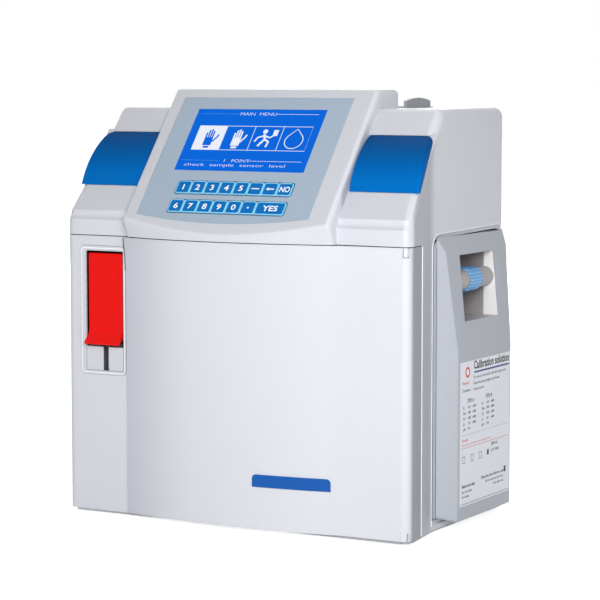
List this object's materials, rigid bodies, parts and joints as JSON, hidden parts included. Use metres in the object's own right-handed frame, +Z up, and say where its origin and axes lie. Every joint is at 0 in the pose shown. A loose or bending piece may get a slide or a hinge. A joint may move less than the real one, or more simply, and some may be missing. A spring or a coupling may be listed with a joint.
{
  "type": "electrolyte analyzer",
  "caption": "Bench-top electrolyte analyzer with a sloping display and keypad, a bowed hinged front door, a red sampling lever and a slide-in reagent pack.",
  "frame": {"origin": "centre of the bounding box, at the underside of the feet", "axes": "+X to the right of someone facing the front, +Y to the rear, +Z up"},
  "size_m": [0.3768, 0.2419, 0.405],
  "materials": {
    "housing_plastic": "fine satin moulding",
    "pack_plastic": "satin moulding",
    "liner_plastic": "satin",
    "key_plastic": "domed film",
    "inlay_plastic": "satin blue",
    "badge_plastic": "printed",
    "overlay_film": "satin film",
    "window_glass": "clear",
    "electronics": "board",
    "lever_plastic": "glossy red",
    "holder_plastic": "satin",
    "needle_steel": "fine",
    "sheet_metal": "powder coat",
    "magnet": "plain",
    "electrode_body": "clear-white moulding",
    "pump_plastic": "plain",
    "motor_metal": "plain",
    "tube_rubber": "translucent",
    "black_plastic": "plain",
    "holder_grey": "satin",
    "paper": "paper",
    "clip_plastic": "dimpled",
    "foot_rubber": "plain"
  },
  "bodies": {
    "housing": {"top_cover": "housing_plastic", "left_panel": "housing_plastic", "sampler_bezel": "housing_plastic", "lever_pin": "needle_steel", "base_tray": "sheet_metal", "feet": "foot_rubber", "pivot_pins": "needle_steel", "rear_panel": "sheet_metal", "left_inlay": "inlay_plastic", "right_inlay": "inlay_plastic", "keypad_overlay": "overlay_film", "display_window": "window_glass", "display_module": "electronics", "chassis_plate": "sheet_metal", "electrode_carrier": "holder_plastic", "sodium_electrode": "electrode_body", "potassium_electrode": "electrode_body", "chloride_electrode": "electrode_body", "reference_electrode": "electrode_body", "pump_housing": "pump_plastic", "pump_motor": "motor_metal", "valve_block": "motor_metal", "tubing": "tube_rubber", "main_board": "electronics", "power_supply": "sheet_metal", "power_inlet": "black_plastic", "printer": "black_plastic", "roll_holder": "holder_grey", "pack_bay": "liner_plastic"},
    "door": {"front_door": "housing_plastic", "badge_plate": "badge_plastic", "door_magnet": "magnet"},
    "lever": {"sampler_lever": "lever_plastic", "needle_holder": "holder_plastic", "sample_needle": "needle_steel"},
    "rotor": {"pump_rotor": "pump_plastic"},
    "roller_1": {"pump_roller_1": "pump_plastic"},
    "roller_2": {"pump_roller_2": "pump_plastic"},
    "roller_3": {"pump_roller_3": "pump_plastic"},
    "rocker": {"power_switch": "black_plastic"},
    "paper": {"paper_axle": "pump_plastic", "paper_roll": "paper"},
    "pack": {"pack_tray": "pack_plastic", "pack_cover": "pack_plastic"},
    "clip": {"pack_clip": "clip_plastic"},
    "key_1_body": {"key_1": "key_plastic"},
    "key_2_body": {"key_2": "key_plastic"},
    "key_3_body": {"key_3": "key_plastic"},
    "key_4_body": {"key_4": "key_plastic"},
    "key_5_body": {"key_5": "key_plastic"},
    "key_dash_body": {"key_dash": "key_plastic"},
    "key_back_body": {"key_back": "key_plastic"},
    "key_no_body": {"key_no": "key_plastic"},
    "key_6_body": {"key_6": "key_plastic"},
    "key_7_body": {"key_7": "key_plastic"},
    "key_8_body": {"key_8": "key_plastic"},
    "key_9_body": {"key_9": "key_plastic"},
    "key_0_body": {"key_0": "key_plastic"},
    "key_point_body": {"key_point": "key_plastic"},
    "key_yes_body": {"key_yes": "key_plastic"}
  },
  "joints": [
    {"name": "door_hinge", "type": "hinge", "parent": "housing", "child": "door", "pos_m": [0.17298, -0.08962, 0.133], "axis": [0, 0, 1], "range_deg": [0, 100]},
    {"name": "lever_hinge", "type": "hinge", "parent": "housing", "child": "lever", "pos_m": [-0.14407, -0.09062, 0.244], "axis": [-1, 0, 0], "range_deg": [0, 60]},
    {"name": "rotor_spin", "type": "hinge", "parent": "housing", "child": "rotor", "pos_m": [0.05748, -0.07412, 0.081], "axis": [0, -1, 0], "continuous": true},
    {"name": "switch_rock", "type": "hinge", "parent": "housing", "child": "rocker", "pos_m": [-0.11252, 0.11388, 0.043], "axis": [-1, 0, 0], "range_deg": [0, 12]},
    {"name": "paper_turn", "type": "hinge", "parent": "housing", "child": "paper", "pos_m": [0.07248, 0.05388, 0.3665], "axis": [1, 0, 0], "continuous": true},
    {"name": "pack_slide", "type": "slide", "parent": "housing", "child": "pack", "axis": [1, 0, 0], "range_m": [0, 0.11]},
    {"name": "clip_hinge", "type": "hinge", "parent": "pack", "child": "clip", "pos_m": [0.17178, 0.03288, 0.2295], "axis": [0, 1, 0], "range_deg": [0, 15], "stiffness_Nm_per_rad": 0.05},
    {"name": "roller_spin_1", "type": "hinge", "parent": "rotor", "child": "roller_1", "pos_m": [0.07248, -0.07412, 0.081], "axis": [0, -1, 0], "continuous": true},
    {"name": "roller_spin_2", "type": "hinge", "parent": "rotor", "child": "roller_2", "pos_m": [0.04998, -0.07412, 0.09399], "axis": [0, -1, 0], "continuous": true},
    {"name": "roller_spin_3", "type": "hinge", "parent": "rotor", "child": "roller_3", "pos_m": [0.04998, -0.07412, 0.06801], "axis": [0, -1, 0], "continuous": true},
    {"name": "key_1_press", "type": "slide", "parent": "housing", "child": "key_1_body", "axis": [0, 0.7771, -0.6294], "range_m": [0, 0.0005], "stiffness_N_per_m": 300},
    {"name": "key_2_press", "type": "slide", "parent": "housing", "child": "key_2_body", "axis": [0, 0.7771, -0.6294], "range_m": [0, 0.0005], "stiffness_N_per_m": 300},
    {"name": "key_3_press", "type": "slide", "parent": "housing", "child": "key_3_body", "axis": [0, 0.7771, -0.6294], "range_m": [0, 0.0005], "stiffness_N_per_m": 300},
    {"name": "key_4_press", "type": "slide", "parent": "housing", "child": "key_4_body", "axis": [0, 0.7771, -0.6294], "range_m": [0, 0.0005], "stiffness_N_per_m": 300},
    {"name": "key_5_press", "type": "slide", "parent": "housing", "child": "key_5_body", "axis": [0, 0.7771, -0.6294], "range_m": [0, 0.0005], "stiffness_N_per_m": 300},
    {"name": "key_dash_press", "type": "slide", "parent": "housing", "child": "key_dash_body", "axis": [0, 0.7771, -0.6294], "range_m": [0, 0.0005], "stiffness_N_per_m": 300},
    {"name": "key_back_press", "type": "slide", "parent": "housing", "child": "key_back_body", "axis": [0, 0.7771, -0.6294], "range_m": [0, 0.0005], "stiffness_N_per_m": 300},
    {"name": "key_no_press", "type": "slide", "parent": "housing", "child": "key_no_body", "axis": [0, 0.7771, -0.6294], "range_m": [0, 0.0005], "stiffness_N_per_m": 300},
    {"name": "key_6_press", "type": "slide", "parent": "housing", "child": "key_6_body", "axis": [0, 0.7771, -0.6294], "range_m": [0, 0.0005], "stiffness_N_per_m": 300},
    {"name": "key_7_press", "type": "slide", "parent": "housing", "child": "key_7_body", "axis": [0, 0.7771, -0.6294], "range_m": [0, 0.0005], "stiffness_N_per_m": 300},
    {"name": "key_8_press", "type": "slide", "parent": "housing", "child": "key_8_body", "axis": [0, 0.7771, -0.6294], "range_m": [0, 0.0005], "stiffness_N_per_m": 300},
    {"name": "key_9_press", "type": "slide", "parent": "housing", "child": "key_9_body", "axis": [0, 0.7771, -0.6294], "range_m": [0, 0.0005], "stiffness_N_per_m": 300},
    {"name": "key_0_press", "type": "slide", "parent": "housing", "child": "key_0_body", "axis": [0, 0.7771, -0.6294], "range_m": [0, 0.0005], "stiffness_N_per_m": 300},
    {"name": "key_point_press", "type": "slide", "parent": "housing", "child": "key_point_body", "axis": [0, 0.7771, -0.6294], "range_m": [0, 0.0005], "stiffness_N_per_m": 300},
    {"name": "key_yes_press", "type": "slide", "parent": "housing", "child": "key_yes_body", "axis": [0, 0.7771, -0.6294], "range_m": [0, 0.0005], "stiffness_N_per_m": 300}
  ]
}
